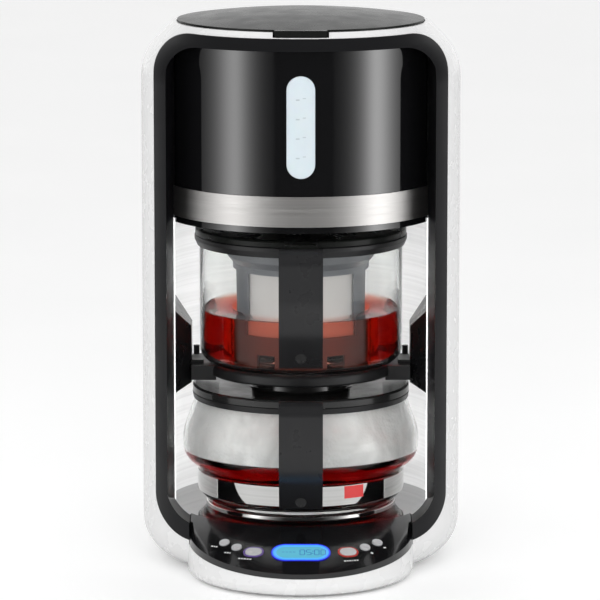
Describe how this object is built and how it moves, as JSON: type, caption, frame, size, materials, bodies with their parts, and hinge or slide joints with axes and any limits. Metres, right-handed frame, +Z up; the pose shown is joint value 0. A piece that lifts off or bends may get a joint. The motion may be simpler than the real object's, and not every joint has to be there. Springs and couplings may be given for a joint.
{
  "type": "automatic tea maker",
  "caption": "Barrel-shaped countertop tea maker with a water head, a glass brewing vessel on a shelf, a glass serving jug on a warming plate and a sloped control panel.",
  "frame": {"origin": "centre of the footprint's bounding box, on the surface the feet stand on", "axes": "+Z up along the barrel, -Y to the front with the control panel, +X to the right seen from the front"},
  "size_m": [0.23, 0.2629, 0.4],
  "materials": {
    "white_shell": "pearl white, glossy",
    "black_frame": "black, semi-gloss",
    "piano_black": "deep black, high gloss",
    "satin_black": "satin black",
    "brushed_band": "brushed along the band",
    "polished_liner": "polished bay wall",
    "frosted_window": "frosted light grey",
    "tank_clear": "translucent grey",
    "coated_plate": "non-stick coat, satin",
    "heater_aluminium": "extruded, bare",
    "hose_rubber": "translucent silicone",
    "foot_rubber": "black rubber",
    "screw_steel": "zinc plated steel",
    "board_green": "green solder mask",
    "lcd_lens": "clear lens over a blue backlight",
    "button_silver": "metallic silver paint",
    "ring_purple": "translucent purple",
    "ring_red": "translucent red",
    "clear_glass": "clear borosilicate glass",
    "strainer_grey": "smoky translucent plastic",
    "mesh_steel": "fine woven steel mesh",
    "chrome_band": "polished stainless band",
    "seal_silicone": "grey silicone"
  },
  "bodies": {
    "housing": {"outer_shell": "white_shell", "front_bezel": "black_frame", "drum_cover": "piano_black", "steel_band": "brushed_band", "level_window": "frosted_window", "drum_floor": "satin_black", "spray_head": "satin_black", "water_tank": "tank_clear", "top_deck": "satin_black", "lid_hinge_pins": "screw_steel", "bay_liner": "polished_liner", "cheek_left": "piano_black", "cheek_right": "piano_black", "vessel_shelf": "satin_black", "drain_solenoid": "screw_steel", "floor_cover": "piano_black", "warming_plate": "coated_plate", "plate_ring": "chrome_band", "control_panel": "piano_black", "lcd_window": "lcd_lens", "circuit_board": "board_green", "ring_left_oval": "ring_purple", "ring_right_oval": "ring_red", "base_plate": "satin_black", "rubber_feet": "foot_rubber", "base_screws": "screw_steel", "cable_gland": "foot_rubber", "flow_heater": "heater_aluminium", "thermostat": "screw_steel", "riser_tube": "hose_rubber", "cold_hose": "hose_rubber"},
    "top_lid": {"top_lid": "piano_black"},
    "brew_vessel": {"brew_glass": "clear_glass", "brew_collar": "satin_black", "brew_handle": "satin_black", "brew_screw": "screw_steel", "brew_hinge_pin": "screw_steel", "strainer_frame": "strainer_grey", "strainer_mesh": "mesh_steel", "valve_seat": "satin_black"},
    "brew_lid": {"brew_lid": "piano_black"},
    "drain_valve": {"valve_stem": "seal_silicone"},
    "lift_arm": {"lift_arm": "satin_black"},
    "serving_jug": {"jug_glass": "clear_glass", "jug_band": "chrome_band", "jug_collar": "satin_black", "jug_handle": "satin_black", "jug_screw": "screw_steel", "jug_hinge_pin": "screw_steel"},
    "jug_lid": {"jug_lid": "piano_black"},
    "button_left_outer": {"button_left_outer": "button_silver"},
    "button_left_inner": {"button_left_inner": "button_silver"},
    "button_left_oval": {"button_left_oval": "button_silver"},
    "button_right_oval": {"button_right_oval": "button_silver"},
    "button_right_inner": {"button_right_inner": "button_silver"},
    "button_right_outer": {"button_right_outer": "button_silver"}
  },
  "joints": [
    {"name": "top_lid_hinge", "type": "hinge", "parent": "housing", "child": "top_lid", "pos_m": [0, 0.0935, 0.391], "axis": [-1, 0, 0], "range_deg": [0, 95]},
    {"name": "brew_vessel_slide", "type": "slide", "parent": "housing", "child": "brew_vessel", "axis": [0, -1, 0], "range_m": [0, 0.26]},
    {"name": "brew_lid_hinge", "type": "hinge", "parent": "brew_vessel", "child": "brew_lid", "pos_m": [0, -0.0637, 0.2403], "axis": [1, 0, 0], "range_deg": [0, 4]},
    {"name": "lift_arm_slide", "type": "slide", "parent": "housing", "child": "lift_arm", "axis": [0, 0, 1], "range_m": [0, 0.002]},
    {"name": "drain_valve_slide", "type": "slide", "parent": "brew_vessel", "child": "drain_valve", "axis": [0, 0, 1], "range_m": [0, 0.002]},
    {"name": "serving_jug_slide", "type": "slide", "parent": "housing", "child": "serving_jug", "axis": [0, -1, 0], "range_m": [0, 0.26]},
    {"name": "jug_lid_hinge", "type": "hinge", "parent": "serving_jug", "child": "jug_lid", "pos_m": [0, -0.0655, 0.1252], "axis": [1, 0, 0], "range_deg": [0, 2.5]},
    {"name": "button_left_outer_press", "type": "slide", "parent": "housing", "child": "button_left_outer", "axis": [0.1709, 0.3242, -0.9304], "range_m": [0, 0.001], "stiffness_N_per_m": 400},
    {"name": "button_left_inner_press", "type": "slide", "parent": "housing", "child": "button_left_inner", "axis": [0.1385, 0.3393, -0.9304], "range_m": [0, 0.001], "stiffness_N_per_m": 400},
    {"name": "button_left_oval_press", "type": "slide", "parent": "housing", "child": "button_left_oval", "axis": [0.0986, 0.353, -0.9304], "range_m": [0, 0.001], "stiffness_N_per_m": 400},
    {"name": "button_right_oval_press", "type": "slide", "parent": "housing", "child": "button_right_oval", "axis": [-0.0986, 0.353, -0.9304], "range_m": [0, 0.001], "stiffness_N_per_m": 400},
    {"name": "button_right_inner_press", "type": "slide", "parent": "housing", "child": "button_right_inner", "axis": [-0.1385, 0.3393, -0.9304], "range_m": [0, 0.001], "stiffness_N_per_m": 400},
    {"name": "button_right_outer_press", "type": "slide", "parent": "housing", "child": "button_right_outer", "axis": [-0.1709, 0.3242, -0.9304], "range_m": [0, 0.001], "stiffness_N_per_m": 400}
  ],
  "couplings": [
    {"joint": "drain_valve_slide", "follows": "lift_arm_slide", "ratio": 1}
  ]
}
